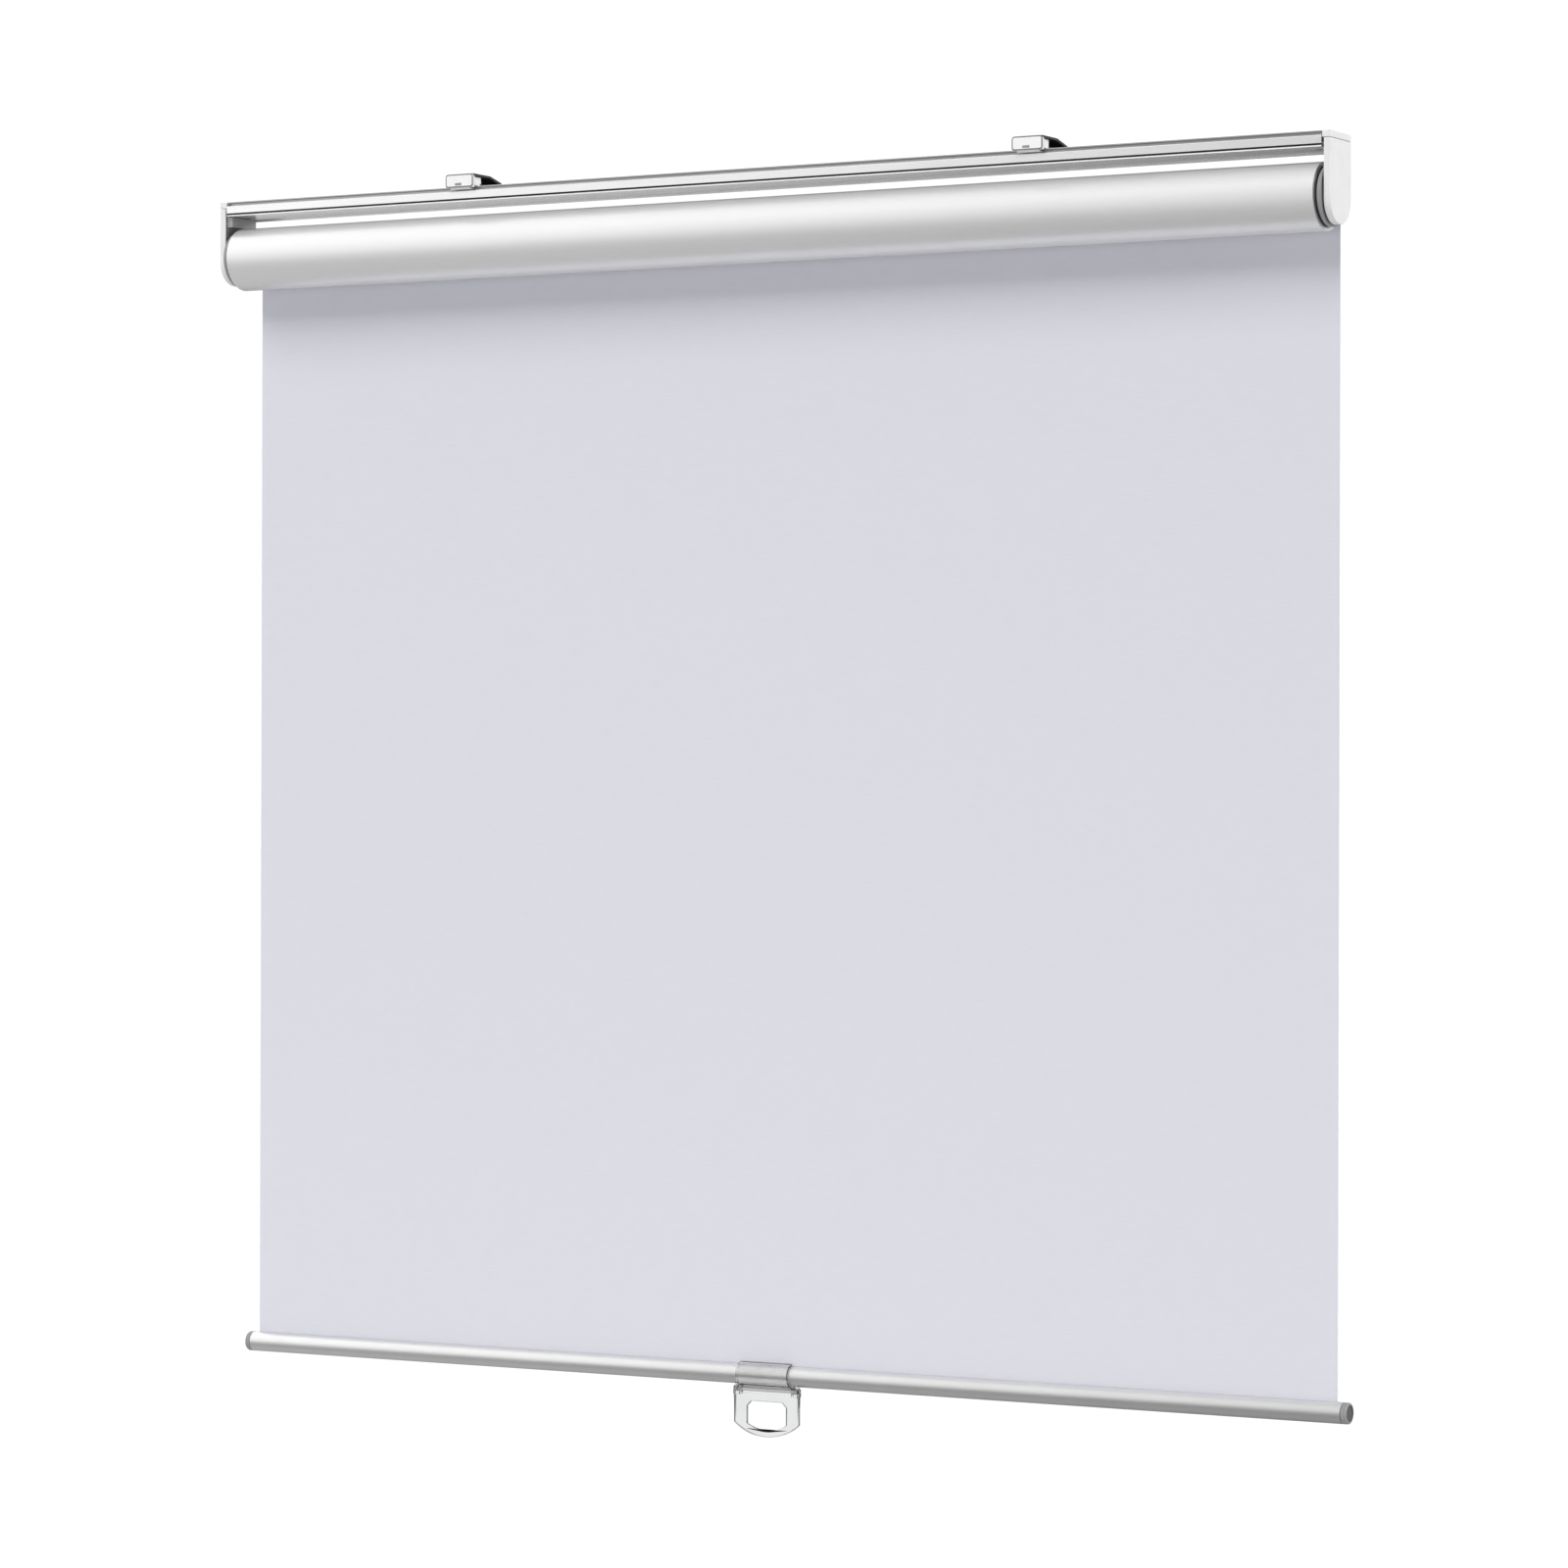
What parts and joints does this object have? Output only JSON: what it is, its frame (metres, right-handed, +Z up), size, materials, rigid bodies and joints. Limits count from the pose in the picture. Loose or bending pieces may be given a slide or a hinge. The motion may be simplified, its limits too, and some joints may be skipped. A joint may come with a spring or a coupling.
{
  "type": "roller blind",
  "caption": "Spring roller blind with a slim clip-up head rail, open cloth roll, round bottom rail and a clear swinging pull loop.",
  "frame": {"origin": "middle of the head rail's top face, straight above the roller's axis", "axes": "+Z up out of the head rail's top face, +X along the roller to the viewer's right, -Y towards the room"},
  "size_m": [0.8188, 0.0492, 0.8223],
  "materials": {
    "white_metal": "white lacquered aluminium extrusion, satin",
    "white_plastic": "moulded white plastic, fine grain",
    "frosted_plastic": "milky translucent moulded plastic",
    "clear_plastic": "clear moulded plastic, polished",
    "grey_plastic": "moulded grey plastic",
    "dark_steel": "black coated sheet steel",
    "steel": "zinc plated steel",
    "spring_steel": "oiled spring wire",
    "aluminium": "satin anodised, drawn along its length",
    "cloth": "tightly woven coated polyester, pale grey face",
    "cloth_reverse": "silvery reverse of the same cloth, satin"
  },
  "bodies": {
    "headrail": {"head_rail": "white_metal", "left_bracket": "steel", "right_bracket": "steel", "left_cover": "white_plastic", "right_cover": "white_plastic", "left_rail_cap": "white_plastic", "right_rail_cap": "white_plastic", "left_rail_screw": "steel", "right_rail_screw": "steel", "left_clip_body": "dark_steel", "right_clip_body": "dark_steel", "motor_spindle": "steel", "spindle_circlip": "spring_steel", "brake_drum": "steel", "spring_anchor": "grey_plastic", "torsion_spring": "spring_steel", "fabric_sheet": "cloth"},
    "roller": {"roller_tube": "aluminium", "cloth_roll": "cloth_reverse", "motor_hub": "grey_plastic", "hub_bush": "white_plastic", "brake_spring": "spring_steel", "drive_plug": "grey_plastic", "idler_plug": "grey_plastic", "idler_spring": "spring_steel"},
    "idler": {"idler_pin": "steel"},
    "left_latch": {"left_clip_latch": "frosted_plastic"},
    "right_latch": {"right_clip_latch": "frosted_plastic"},
    "bottom": {"bottom_rail": "aluminium", "left_bottom_cap": "grey_plastic", "right_bottom_cap": "grey_plastic", "hem_strip": "white_plastic", "handle_clip": "clear_plastic"},
    "handle": {"handle_loop": "clear_plastic"}
  },
  "joints": [
    {"name": "bottom_rail_slide", "type": "slide", "parent": "headrail", "child": "bottom", "axis": [0, 0, 1], "range_m": [-1.17, 0.7], "deforming": ["fabric_sheet"]},
    {"name": "roller_spin", "type": "hinge", "parent": "headrail", "child": "roller", "pos_m": [0, 0, -0.038], "axis": [1, 0, 0], "range_deg": [-3200, 1920]},
    {"name": "idler_pin_slide", "type": "slide", "parent": "roller", "child": "idler", "axis": [1, 0, 0], "range_m": [0, 0.004], "stiffness_N_per_m": 600, "springref_m": -0.005, "deforming": ["idler_spring"]},
    {"name": "left_latch_slide", "type": "slide", "parent": "headrail", "child": "left_latch", "axis": [0, -1, 0], "range_m": [0, 0.002], "stiffness_N_per_m": 1500, "springref_m": -0.002},
    {"name": "right_latch_slide", "type": "slide", "parent": "headrail", "child": "right_latch", "axis": [0, -1, 0], "range_m": [0, 0.002], "stiffness_N_per_m": 1500, "springref_m": -0.002},
    {"name": "handle_hinge", "type": "hinge", "parent": "bottom", "child": "handle", "pos_m": [0, 0.0213, -0.7834], "axis": [1, 0, 0], "range_deg": [-85, 85]}
  ],
  "couplings": [
    {"joint": "roller_spin", "follows": "bottom_rail_slide", "rad_per_m": 47.6}
  ]
}
